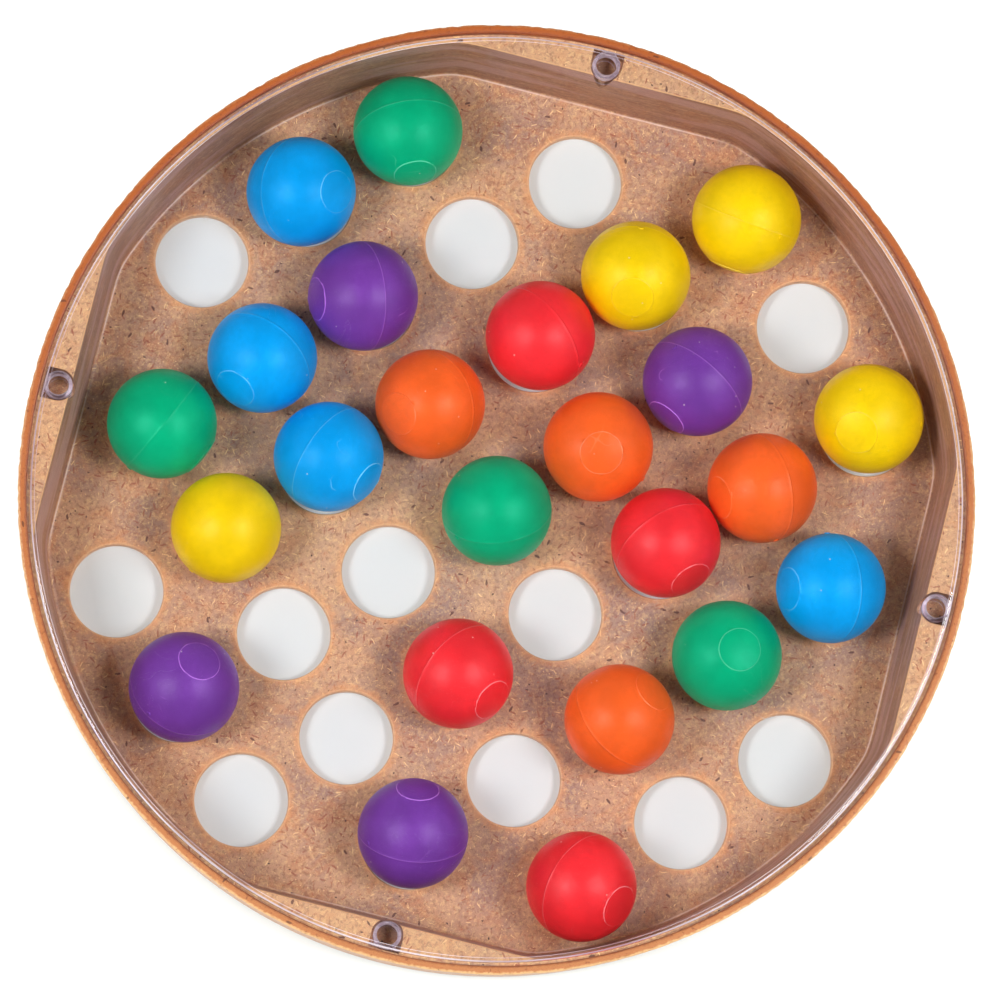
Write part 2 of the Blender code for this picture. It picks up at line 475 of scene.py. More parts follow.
def well_radius(angle, height):
    """Distance from the middle to the well's wall, in one direction.

    The well is round, with four flat faces that look along the diagonals, and
    the corners between them are eased.
    """
    round_part = wall_at(WELL_RADIUS_AT_FLOOR, WELL_RADIUS_AT_SEAT, height)
    face = wall_at(LEDGE_FACE_AT_FLOOR, LEDGE_FACE_AT_SEAT, height)
    off_diagonal = (angle % (math.pi / 2)) - math.pi / 4
    flat_part = face / math.cos(off_diagonal)
    gap = (flat_part - round_part) / CORNER_EASING
    return round_part - CORNER_EASING * math.log1p(math.exp(-gap))


def rim_wear(angle, height):
    """How far the rim's ragged outer edge has crumbled inwards."""
    spot = Vector((math.cos(angle), math.sin(angle), 0)) * RIM_RADIUS
    spot.z = height
    coarse = noise.noise(spot * 260)
    fine = noise.noise(spot * 1100 + Vector((7, 3, 1)))
    return RIM_ROUGHNESS * max(0.0, 0.3 + 0.4 * coarse + 1.5 * fine)


def tray_section(angle):
    """The tray's outline in one direction, from under the base to the floor."""
    recess = RIM_RADIUS - RIM_WALL
    inner = RIM_INNER_ROUNDING
    base_centre = (BASE_RADIUS - BASE_ROUNDING, BASE_ROUNDING)
    rim_centre = (RIM_RADIUS - RIM_ROUNDING, TRAY_HEIGHT - RIM_ROUNDING)
    inner_centre = (recess + inner, TRAY_HEIGHT - inner)
    section = arc(base_centre, BASE_ROUNDING, -math.pi / 2, 0.0, ARC_STEPS)
    start = section.pop()
    end = (RIM_RADIUS, TRAY_HEIGHT - RIM_ROUNDING)
    for step in range(SIDE_STEPS):
        share = step / SIDE_STEPS
        across = start[0] + (end[0] - start[0]) * share
        section.append((across, start[1] + (end[1] - start[1]) * share))
    for across, height in arc(rim_centre, RIM_ROUNDING, 0.0, math.pi / 2, ARC_STEPS):
        section.append((across - rim_wear(angle, height), height))
    section += arc(inner_centre, inner, math.pi / 2, math.pi, ARC_STEPS // 2)
    section.append((recess, SEAT_HEIGHT + SEAT_FILLET))
    section.append((recess - SEAT_FILLET, SEAT_HEIGHT))

    lip = well_radius(angle, SEAT_HEIGHT - LEDGE_CHAMFER)
    section.append((lip + LEDGE_CHAMFER, SEAT_HEIGHT))
    wall_foot = FLOOR_THICKNESS + WELL_FILLET
    for step in range(SIDE_STEPS):
        share = step / SIDE_STEPS
        height = SEAT_HEIGHT - LEDGE_CHAMFER
        height += (wall_foot - height) * share
        section.append((well_radius(angle, height), height))
    foot = (well_radius(angle, wall_foot) - WELL_FILLET, wall_foot)
    section += arc(foot, WELL_FILLET, 0.0, -math.pi / 2, ARC_STEPS)
    return section


def make_shell():
    """The tray before its holes and slots are cut, as rings joined by quads."""
    shape = bmesh.new()
    columns = []
    for step in range(RIM_STEPS):
        angle = 2 * math.pi * step / RIM_STEPS
        column = []
        for across, height in tray_section(angle):
            spot = (across * math.cos(angle), across * math.sin(angle), height)
            column.append(shape.verts.new(spot))
        columns.append(column)
    for here, there in zip(columns, columns[1:] + columns[:1]):
        for row in range(len(here) - 1):
            shape.faces.new((here[row], there[row], there[row + 1], here[row + 1]))
    shape.faces.new([column[0] for column in reversed(columns)])
    shape.faces.new([column[-1] for column in columns])
    return object_from_bmesh("tray_shell", shape)


def make_slots():
    """The pins' slots: round at the inner end, running out almost to the rim."""
    half = PIN_RADIUS + PIN_CLEARANCE
    outline = arc((PIN_CIRCLE_RADIUS, 0.0), half, math.pi / 2, 3 * math.pi / 2, 24)
    outline += [(SLOT_END_RADIUS, -half), (SLOT_END_RADIUS, half)]
    bottom = SEAT_HEIGHT - SLOT_DEPTH
    height = Vector((0, 0, SLOT_DEPTH + OVERCUT))
    shape = bmesh.new()
    for angle in PIN_ANGLES:
        turn = Matrix.Rotation(angle, 4, "Z")
        corners = [shape.verts.new(turn @ Vector((x, y, bottom))) for x, y in outline]
        floor = shape.faces.new(corners)
        raised = bmesh.ops.extrude_face_region(shape, geom=[floor])
        lifted = [item for item in raised["geom"] if isinstance(item, bmesh.types.BMVert)]
        bmesh.ops.translate(shape, vec=height, verts=lifted)
    bmesh.ops.recalc_face_normals(shape, faces=shape.faces)
    return object_from_bmesh("slots", shape)


def make_holes():
    """Cutters for the holes, flared so that both edges come out rounded."""
    soft = HOLE_ROUNDING
    wide = HOLE_RADIUS + soft
    top = FLOOR_THICKNESS
    steep = math.radians(15)
    profile = [(0.0, top + OVERCUT), (wide, top + OVERCUT)]
    profile += arc((wide, top - soft), soft, math.pi / 2 + steep, math.pi, 4)
    profile += arc((wide, soft), soft, math.pi, 3 * math.pi / 2 - steep, 4)
    profile += [(wide, -OVERCUT), (0.0, -OVERCUT)]
    pattern = applied(turned("hole", profile, HOLE_STEPS), [])
    shape = bmesh.new()
    for x, y in hole_spots():
        before = len(shape.verts)
        shape.from_mesh(pattern.data)
        shape.verts.ensure_lookup_table()
        added = shape.verts[before:]
        bmesh.ops.translate(shape, vec=Vector((x, y, 0)), verts=added)
    bpy.data.objects.remove(pattern, do_unlink=True)
    return object_from_bmesh("holes", shape)


def make_tray():
    """The tray with rounded edges, pin slots, ejector marks and a rough rim."""
    tray = make_shell()
    marks = posts(
        "marks",
        ejector_spots(),
        EJECTOR_RADIUS,
        FLOOR_THICKNESS - EJECTOR_DEPTH,
        FLOOR_THICKNESS + OVERCUT,
        PIN_STEPS,
    )
    carve(tray, [make_holes(), make_slots(), marks])
    smooth(tray, 35)
    return tray


# ---------------------------------------------------------------- lid

def make_lid():
    """The clear disc with its eased edge and four hollow pins.

    Its faces take the second material where they are frosted and painted pale as highlights.
    """
    top = LID_HIGH.z
    bottom = top - LID_THICKNESS
    small = 0.08 * MM
    line = LID_RADIUS - LID_LINE
    profile = [(0.0, top), (line - LINE_WIDTH / 2, top), (line + LINE_WIDTH / 2, top)]
    profile.append((LID_RADIUS - LID_CHAMFER - small, top))
    profile.append((LID_RADIUS - LID_CHAMFER, top - small / 2))
    profile.append((LID_RADIUS - small / 2, top - LID_CHAMFER))
    profile.append((LID_RADIUS, top - LID_CHAMFER - small))
    profile.append((LID_RADIUS, bottom + small))
    profile.append((LID_RADIUS - small, bottom))
    profile.append((0.0, bottom))
    lid = turned("lid_disc", profile, RIM_STEPS)
    spots = ring_spots(PIN_CIRCLE_RADIUS, PIN_ANGLES)
    pin_end = LID_LOW.z
    inside_plate = bottom + LID_THICKNESS / 2
    pins = posts("pins", spots, PIN_RADIUS, pin_end, inside_plate, PIN_STEPS)
    roof = top - PIN_BORE_ROOF
    bores = posts("bores", spots, PIN_BORE_RADIUS, pin_end - OVERCUT, roof, PIN_STEPS)
    boolean(lid, pins, "UNION")
    boolean(lid, bores, "DIFFERENCE")
    applied(lid, [pins, bores])
    split_at(lid, bottom - PIN_FROST_AND_HIGHLIGHT)
    smooth(lid, 30)
    for face in lid.data.polygons:
        face.material_index = int(is_frost_and_highlight(face.center, abs(face.normal.z) < 0.5))
    return lid


def split_at(piece, height):
    """Split a piece's faces along a level plane."""
    shape = bmesh.new()
    shape.from_mesh(piece.data)
    everything = [*shape.verts, *shape.edges, *shape.faces]
    level = Vector((0, 0, height))
    bmesh.ops.bisect_plane(shape, geom=everything, plane_co=level, plane_no=Vector((0, 0, 1)))
    shape.to_mesh(piece.data)
    shape.free()


def is_frost_and_highlight(spot, upright):
    """Whether a lid face is frosted and painted pale as a highlight: the eased edge, a thin line, the
    pins' tops and ends.
    """
    top = LID_HIGH.z
    across = math.hypot(spot.x, spot.y)
    on_edge = across > LID_RADIUS - LID_CHAMFER - 0.01 * MM and not upright and spot.z > top - 0.5 * MM
    on_line = abs(across - (LID_RADIUS - LID_LINE)) < LINE_WIDTH and spot.z > top - 0.01 * MM
    reach = PIN_CIRCLE_RADIUS * math.sqrt(0.5)
    from_pin = math.hypot(abs(spot.x) - reach, abs(spot.y) - reach)
    below_plate = spot.z < top - LID_THICKNESS + 0.01 * MM
    if upright:
        in_wall = PIN_BORE_RADIUS - 0.1 * MM < from_pin < PIN_RADIUS + 0.1 * MM
        on_pin = in_wall and spot.z > top - LID_THICKNESS - PIN_FROST_AND_HIGHLIGHT
    else:
        on_pin = from_pin < PIN_RADIUS + 0.1 * MM and spot.z < LID_LOW.z + 0.01 * MM
    return on_edge or on_line or (on_pin and (below_plate or upright))


# ---------------------------------------------------------------- balls

def ball_profile(radius):
    """Half outline of a ball: low round mark, sphere, parting ridge, sphere."""
    disc = DISC_RADIUS * radius
    flat = DISC_HEIGHT * radius
    lip = 0.07 * MM
    points = []
    for share in (0.0, 0.3, 0.6, 0.85):
        crown = DISC_CROWN * radius * (1 - share * share)
        points.append(((disc - lip) * share, flat + crown))
    points += arc((disc - lip, flat - lip), lip, math.pi / 2, 0.0, 3)
    start = math.acos(DISC_RADIUS * 1.006)
    ridge = PARTING_HEIGHT / radius * 1.2
    upper = 22
    for step in range(upper + 1):
        angle = start + (ridge - start) * step / upper
        points.append((radius * math.cos(angle), radius * math.sin(angle)))
    points.append((radius + PARTING_HEIGHT * 0.7, ridge * radius * 0.4))
    points.append((radius + PARTING_HEIGHT * 0.7, -ridge * radius * 0.4))
    lower = 30
    for step in range(lower + 1):
        angle = -ridge - (math.pi / 2 - ridge) * step / lower
        points.append((radius * math.cos(angle), radius * math.sin(angle)))
    points[-1] = (0.0, -radius)
    return points


def make_ball(name, seed):
    """One ball with its moulding marks, turned the way it has come to rest.

    It is made with its round mark at +Z. The attribute "own" keeps each point's
    place from before the turn, for the material.
    """
    low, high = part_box(name)
    radius = (high.z - low.z) / 2
    ball = turned(name + "_skin", ball_profile(radius), BALL_STEPS)
    applied(ball, [])
    shift = Vector((seed * 3.7, seed * 1.3, 0))
    disc = DISC_RADIUS * radius
    for vertex in ball.data.vertices:
        across = Vector((vertex.co.x, vertex.co.y, 0))
        on_lip = abs(across.length - disc) < LIP_BAND and vertex.co.z > 0
        if on_lip:
            ragged = noise.noise(across * 900 + shift)
            lift = max(0.0, ragged - 0.1) * LIP_RAGGEDNESS
            vertex.co += across.normalized() * lift
        on_ridge = abs(vertex.co.z) < RIDGE_BAND and across.length > radius
        if on_ridge:
            broken = 0.5 + 0.5 * noise.noise(across * 500 + shift)
            vertex.co -= across.normalized() * PARTING_HEIGHT * 0.6 * broken
    add_gate(ball.data, radius, seed)
    smooth(ball, 40)
    own = ball.data.attributes.new("own", "FLOAT_VECTOR", "POINT")
    for vertex in ball.data.vertices:
        own.data[vertex.index].vector = vertex.co
    azimuth, height, gate = (math.radians(value) for value in BALL_TURNS[name][:3])
    wear = ball.data.attributes.new("wear", "FLOAT", "POINT")
    wear.data.foreach_set("value", [BALL_TURNS[name][3]] * len(ball.data.vertices))
    turn = Matrix.Rotation(azimuth, 4, "Z") @ Matrix.Rotation(math.pi / 2 - height, 4, "Y")
    spin = Matrix.Rotation(gate, 4, "Z")
    ball.data.transform(turn @ spin)
    ball.matrix_world = Matrix.Translation((low + high) / 2)
    return ball


def add_gate(mesh, radius, seed):
    """Add the small broken-off gate stub on the parting line, at +X."""
    middle = Vector((radius - GATE_SINK, 0, GATE_HEIGHT))
    shape = bmesh.new()
    shape.from_mesh(mesh)
    stub = bmesh.ops.create_icosphere(
        shape,
        subdivisions=3,
        radius=GATE_RADIUS,
        matrix=Matrix.Translation(middle),
    )
    shift = Vector((0, seed * 2.1, 5))
    for vertex in stub["verts"]:
        away = vertex.co - middle
        away *= 1 + 0.25 * noise.noise(away * 2500 + shift)
        away.x = min(away.x, GATE_STANDOFF)
        vertex.co = middle + away
    shape.to_mesh(mesh)
    shape.free()


# ---------------------------------------------------------------- materials

def tray_material():
    """Tan plastic filled with wood fibre: clouds, grain, fibres and an amber rim, with painted highlights,
    sheen, glow and shade.
    """
    n = Nodes("wood_fibre_plastic")
    place = n.add("ShaderNodeTexCoord").outputs["Object"]
    x, y, z = n.split(place)
    across = n.vector("LENGTH", n.join(x, y, 0.0))
    normal = n.split(n.add("ShaderNodeNewGeometry").outputs["Normal"])
    upright = n.ramp(n.math("ABSOLUTE", normal[2]), 0.75, 0.35)
    inside = n.ramp(across, RIM_RADIUS - 1.5 * MM, RIM_RADIUS - 1.7 * MM)
    above_floor = n.ramp(z, FLOOR_THICKNESS + 0.1 * MM, FLOOR_THICKNESS + 0.7 * MM)
    wall = n.math("MULTIPLY", upright, n.math("MULTIPLY", inside, above_floor))
    open_face = n.math("SUBTRACT", 1.0, n.math("MULTIPLY", wall, 0.45))
    ledge = n.math("MULTIPLY", inside, n.ramp(z, SEAT_HEIGHT - 0.3 * MM, SEAT_HEIGHT - 0.2 * MM))

    # The plastic: grey-tan clouds, warmer drifts, redder outwards, lighter on the ledge tops, and a
    # two-coloured grain
    clouds = n.noise(place, 75, 4, 0.6, 0.5)
    drifts = n.noise(place, 210, 5, 0.65, 1.2)
    outwards = n.ramp(n.math("ADD", across, n.math("MULTIPLY", clouds, 30 * MM)), 30 * MM, 75 * MM)
    colour = n.blend(n.ramp(clouds, 0.36, 0.62), srgb(156, 128, 116), srgb(206, 164, 128))
    warm = n.math("ADD", n.math("MULTIPLY", outwards, 0.5), 0.35)
    warm = n.math("MULTIPLY", n.ramp(drifts, 0.42, 0.68), warm)
    colour = n.blend(warm, colour, srgb(198, 136, 92))
    colour = n.blend(n.math("MULTIPLY", outwards, 0.30), colour, srgb(178, 120, 92))
    colour = n.blend(n.math("MULTIPLY", ledge, 0.40), colour, srgb(226, 176, 122))
    light_grain = n.ramp(n.noise(place, 1700, 4, 0.8), 0.49, 0.61)
    colour = n.blend(n.math("MULTIPLY", light_grain, 0.44), colour, srgb(236, 198, 140))
    moved = n.vector("ADD", place, (0.23, 0.11, 0.02))
    dark_grain = n.ramp(n.noise(moved, 1500, 4, 0.8, 0.3), 0.50, 0.61)
    colour = n.blend(n.math("MULTIPLY", dark_grain, 0.50), colour, srgb(128, 84, 66))

    # Fibres, laid out flat on level faces and wrapped around upright ones
    steep = n.math("GREATER_THAN", upright, 0.5)
    turn = n.math("MULTIPLY", n.math("ARCTAN2", y, x), RIM_RADIUS)
    level = n.vector("SCALE", n.join(x, y, 0.0), n.math("SUBTRACT", 1.0, steep))
    sheet = n.vector("ADD", level, n.vector("SCALE", n.join(turn, z, 0.0), steep))
    bent = n.vector("MULTIPLY", n.warped(sheet, 1000, 0.5 * MM), (1.0, 1.0, 0.0))
    patches = n.ramp(n.noise(place, 200, 2, 0.5, 0.8), 0.42, 0.62)
    red = n.fibres(bent, 1.5 * MM, 0.60 * MM, 0.13 * MM, 0.60)
    red = n.math("MULTIPLY", red, n.math("ADD", n.math("MULTIPLY", patches, 0.65), 0.08))
    colour = n.blend(n.math("MULTIPLY", red, open_face), colour, srgb(146, 72, 52))
    moved = n.vector("ADD", bent, (0.13, 0.07, 0.0))
    short = n.fibres(moved, 0.85 * MM, 0.24 * MM, 0.07 * MM, 0.20)
    short = n.math("MULTIPLY", short, n.math("MULTIPLY", open_face, 0.55))
    colour = n.blend(short, colour, srgb(176, 92, 56))
    moved = n.vector("ADD", bent, (0.31, 0.17, 0.0))
    straw = n.fibres(moved, 1.7 * MM, 0.52 * MM, 0.07 * MM, 0.26)
    straw = n.math("MULTIPLY", straw, n.ramp(n.noise(moved, 150, 2), 0.36, 0.54))
    moved = n.vector("ADD", sheet, (0.51, 0.37, 0.0))
    dots = n.fibres(moved, 0.95 * MM, 0.11 * MM, 0.09 * MM, 0.20)
    straw = n.math("MAXIMUM", straw, n.math("MULTIPLY", dots, 0.8))
    straw = n.math("MULTIPLY", straw, n.math("MULTIPLY", open_face, 0.9))
    colour = n.blend(straw, colour, srgb(248, 212, 154))
    moved = n.vector("ADD", bent, (0.05, 0.41, 0.0))
    dark = n.fibres(moved, 3.4 * MM, 0.48 * MM, 0.19 * MM, 0.17)
    dark = n.math("MULTIPLY", dark, n.math("MULTIPLY", open_face, 0.85))
    colour = n.blend(dark, colour, srgb(84, 42, 40))
    moved = n.vector("ADD", bent, (0.45, 0.21, 0.0))
    specks = n.fibres(moved, 2.2 * MM, 0.17 * MM, 0.11 * MM, 0.15)
    colour = n.blend(n.math("MULTIPLY", specks, 0.9), colour, srgb(56, 32, 36))

    # The walls were scraped by the mould into streaks, and carry pale bands that are painted sheen; the
    # ledges' lips and the walls' feet carry painted highlights
    streaks = n.noise(n.vector("MULTIPLY", place, (260, 260, 3800)), 1.0, 4, 0.7)
    wall_sheen_bands = n.noise(n.vector("MULTIPLY", place, (40, 40, 420)), 1.0, 2, 0.5)
    colour = n.blend(n.math("MULTIPLY", wall, 0.40), colour, srgb(160, 114, 98))
    shade = n.math("MULTIPLY", n.ramp(streaks, 0.45, 0.62), n.math("MULTIPLY", wall, 0.6))
    colour = n.blend(shade, colour, srgb(118, 74, 62))
    # Painted sheen: pale bands on the walls, where lamps reflect
    pale = n.math("MULTIPLY", n.ramp(wall_sheen_bands, 0.46, 0.60), n.math("MULTIPLY", wall, 0.55))
    colour = n.blend(pale, colour, srgb(198, 160, 154))
    # Painted highlight: a pale line along the lips of the ledges and slots, where the chamfer catches the
    # light
    lip = n.math("SUBTRACT", z, SEAT_HEIGHT - LEDGE_CHAMFER / 2)
    lip = n.ramp(n.math("ABSOLUTE", lip), LEDGE_CHAMFER / 2, LEDGE_CHAMFER / 4)
    colour = n.blend(n.math("MULTIPLY", lip, n.math("MULTIPLY", inside, 0.6)), colour, srgb(240, 190, 140))
    # Painted highlight: a thin pale line in broken stretches where the walls meet the floor
    foot = n.math("SUBTRACT", z, FLOOR_THICKNESS + 0.13 * MM)
    foot = n.ramp(n.math("ABSOLUTE", foot), 0.09 * MM, 0.04 * MM)
    foot = n.math("MULTIPLY", foot, n.ramp(n.noise(place, 45, 2), 0.36, 0.56))
    foot = n.math("MULTIPLY", foot, n.math("MULTIPLY", inside, 0.60))
    colour = n.blend(foot, colour, srgb(238, 214, 200))

    # Painted glow: light that comes up through the thin rounded edges of the holes, with a painted bright
    # line along their border
    cell_x = n.math("ADD", n.math("DIVIDE", x, PITCH), 0.5)
    cell_y = n.math("ADD", n.math("DIVIDE", y, PITCH), 0.5)
    off_x = n.math("SUBTRACT", n.math("FRACT", cell_x), 0.5)
    off_y = n.math("SUBTRACT", n.math("FRACT", cell_y), 0.5)
    reach = n.math("MULTIPLY", n.vector("LENGTH", n.join(off_x, off_y, 0.0)), PITCH)
    node_x = n.math("FLOOR", cell_x)
    node_y = n.math("FLOOR", cell_y)
    real_hole = n.math("LESS_THAN", n.vector("LENGTH", n.join(node_x, node_y, 0.0)), HOLE_REACH)
    ragged = n.math("MULTIPLY", n.math("SUBTRACT", n.noise(place, 1100, 4, 0.7), 0.5), 2.6 * MM)
    near_hole = n.ramp(n.math("ADD", reach, ragged), HOLE_RADIUS + 1.5 * MM, HOLE_RADIUS + 0.2 * MM)
    low = n.ramp(z, FLOOR_THICKNESS + 0.4 * MM, FLOOR_THICKNESS + 0.1 * MM)
    glow = n.math("MULTIPLY", n.math("MULTIPLY", near_hole, low), real_hole)
    colour = n.blend(n.math("MULTIPLY", glow, 0.42), colour, srgb(230, 160, 100))
    hole_border_glow = n.ramp(reach, HOLE_RADIUS + 0.35 * MM, HOLE_RADIUS + 0.22 * MM)
    hole_border_glow = n.math("MULTIPLY", n.math("MULTIPLY", hole_border_glow, low), n.math("MULTIPLY", real_hole, 0.25))
    colour = n.blend(hole_border_glow, colour, srgb(248, 212, 168))

    # The thin rim: painted shadow dark at the lid, then amber painted deeper on one side as shade, with a
    # pale ragged outer edge that is partly a painted highlight
    wander = n.math("MULTIPLY", n.math("SUBTRACT", n.noise(place, 1500, 4, 0.7), 0.5), 0.8 * MM)
    ring = n.math("ADD", across, wander)
    rim = n.ramp(z, SEAT_HEIGHT + 0.1 * MM, SEAT_HEIGHT + 0.5 * MM)
    rim = n.math("MULTIPLY", rim, n.ramp(across, RIM_RADIUS - 1.6 * MM, RIM_RADIUS - 1.5 * MM))
    lines = n.math("MULTIPLY", n.math("SUBTRACT", across, RIM_RADIUS), 3.0)
    along = n.noise(n.join(x, y, n.math("MULTIPLY", lines, 600)), 120, 3, 0.6)
    # Painted shadow: the rim darkens inwards, into the gap at the lid
    inner = n.ramp(ring, RIM_RADIUS - 1.20 * MM, RIM_RADIUS - 0.85 * MM)
    # Painted shade: the amber is deeper and darker on one side of the rim, paler on the other
    toward_painted_shade = n.vector("DOT_PRODUCT", n.vector("NORMALIZE", n.join(x, y, 0.0)), RIM_PAINTED_SHADE_SIDE)
    toward_painted_shade = n.math("ADD", toward_painted_shade, n.math("MULTIPLY", n.noise(place, 30, 2), 1.2))
    deep = n.ramp(toward_painted_shade, -0.2, 1.4)
    body = n.blend(deep, srgb(180, 108, 60), srgb(158, 74, 20))
    amber = n.blend(inner, srgb(118, 46, 28), body)
    pale_streak = n.math("MULTIPLY", n.ramp(along, 0.42, 0.62), 0.6)
    amber = n.blend(pale_streak, amber, n.blend(deep, srgb(208, 150, 96), srgb(188, 106, 40)))
    dark_streak = n.noise(n.join(x, y, n.math("MULTIPLY", lines, 700)), 260, 3, 0.6)
    dark_streak = n.math("MULTIPLY", n.ramp(dark_streak, 0.52, 0.66), 0.55)
    amber = n.blend(dark_streak, amber, srgb(128, 58, 26))
    # The pale outer edge: crumbled plastic, and partly a painted highlight where the rounded top catches
    # light; fainter on the painted shade side
    edge = n.ramp(ring, RIM_RADIUS - 0.45 * MM, RIM_RADIUS - 0.10 * MM)
    edge = n.math("MULTIPLY", edge, n.math("SUBTRACT", 1.0, n.math("MULTIPLY", deep, 0.75)))
    amber = n.blend(n.math("MULTIPLY", edge, 0.85), amber, srgb(238, 196, 140))
    crumbs = n.ramp(n.noise(place, 1900, 3, 0.7), 0.60, 0.68)
    amber = n.blend(n.math("MULTIPLY", crumbs, 0.7), amber, srgb(112, 50, 24))
    colour = n.blend(rim, colour, amber)
    colour = n.blend(n.math("MULTIPLY", n.math("MULTIPLY", dark, rim), 0.8), colour, srgb(70, 34, 26))
    # Painted glow: the upright outer face of the rim is lighter, as light from the table shines through it
    outer_wall_glow = n.math("MULTIPLY", upright, n.ramp(across, RIM_RADIUS - 1.2 * MM, RIM_RADIUS - 1.0 * MM))
    colour = n.blend(n.math("MULTIPLY", outer_wall_glow, 0.35), colour, srgb(206, 146, 96))

    grain = n.noise(place, 2600, 3, 0.65)
    bumps = n.bump(grain, 0.03 * MM, 0.8)
    bumps = n.bump(drifts, 0.05 * MM, 0.5, bumps)
    n.set(
        Base_Color=colour,
        Roughness=n.math("ADD", n.math("MULTIPLY", drifts, 0.2), 0.38),
        Normal=bumps,
        Specular_IOR_Level=0.4,
    )
    return n.material


def let_light_through(n):
    """Let lamps and soft light pass a clear material without being counted twice."""
    path = n.add("ShaderNodeLightPath")
    clear = n.add("ShaderNodeBsdfTransparent")
    clear.inputs["Color"].default_value = (0.93, 0.925, 0.94, 1.0)
    mix = n.add("ShaderNodeMixShader")
    through = n.math("MAXIMUM", path.outputs["Is Shadow Ray"], path.outputs["Is Diffuse Ray"])
    n.feed(mix.inputs["Fac"], through)
    n.tree.links.new(n.shader.outputs[0], mix.inputs[1])
    n.tree.links.new(clear.outputs[0], mix.inputs[2])
    n.tree.links.new(mix.outputs[0], n.output.inputs["Surface"])


def lid_material():
    """Clear plastic with light handling scratches."""
    n = Nodes("clear_plastic")
    place = n.add("ShaderNodeTexCoord").outputs["Object"]
    lines = n.noise(place, 90, 1, 0.4, 1.5)
    scratch = n.ramp(n.math("ABSOLUTE", n.math("SUBTRACT", lines, 0.5)), 0.0035, 0.0)
    patches = n.ramp(n.noise(place, 45, 1), 0.55, 0.7)
    scratch = n.math("MULTIPLY", scratch, patches)
    n.set(
        Base_Color=(0.985, 0.98, 0.99, 1.0),
        Roughness=n.math("ADD", n.math("MULTIPLY", scratch, 0.25), 0.02),
        Transmission_Weight=1.0,
        IOR=1.49,
        Normal=n.bump(n.noise(place, 30, 1), 0.02 * MM, 0.3),
    )
    let_light_through(n)
    return n.material


def frost_and_highlight_material():
    """The same plastic where it is rough and scatters light, and is painted pale as a highlight: pins and
    edge.
    """
    n = Nodes("frosted_plastic_painted_highlight")
    place = n.add("ShaderNodeTexCoord").outputs["Object"]
    z = n.split(place)[2]
    at_edge = n.ramp(z, LID_HIGH.z - LID_THICKNESS, LID_HIGH.z - LID_THICKNESS + 0.2 * MM)
    uneven = n.ramp(n.noise(place, 35, 2), 0.30, 0.62)
    worn = n.ramp(n.noise(place, 1500, 3, 0.6), 0.35, 0.65)
    # Painted highlight: the eased edge and the thin line run from lilac to near white, and the pins are
    # painted pale
    edge = n.blend(uneven, srgb(178, 152, 164), srgb(248, 240, 250))
    pins = n.blend(worn, srgb(206, 186, 208), srgb(244, 232, 246))
    n.set(
        Base_Color=n.blend(at_edge, pins, edge),
        Roughness=n.math("ADD", n.math("MULTIPLY", worn, 0.15), 0.45),
        Transmission_Weight=0.2,
        IOR=1.49,
    )
    let_light_through(n)
    return n.material


# Body, scuffed and highlight colours
BALL_PAINT = {
    "green": (srgb(0, 178, 122), srgb(110, 225, 180), (0.25, 1.0, 0.85, 1.0)),
    "blue": (srgb(0, 168, 248), srgb(130, 215, 255), (0.35, 0.85, 1.0, 1.0)),
    "purple": (srgb(117, 59, 160), srgb(200, 130, 235), (0.85, 0.8, 1.0, 1.0)),
    "yellow": (srgb(255, 216, 0), srgb(255, 238, 130), (1.0, 0.9, 0.6, 1.0)),
    "orange": (srgb(255, 102, 36), srgb(255, 190, 150), (1.0, 0.9, 0.7, 1.0)),
    "red": (srgb(249, 44, 52), srgb(255, 165, 170), (1.0, 0.9, 0.9, 1.0)),
}


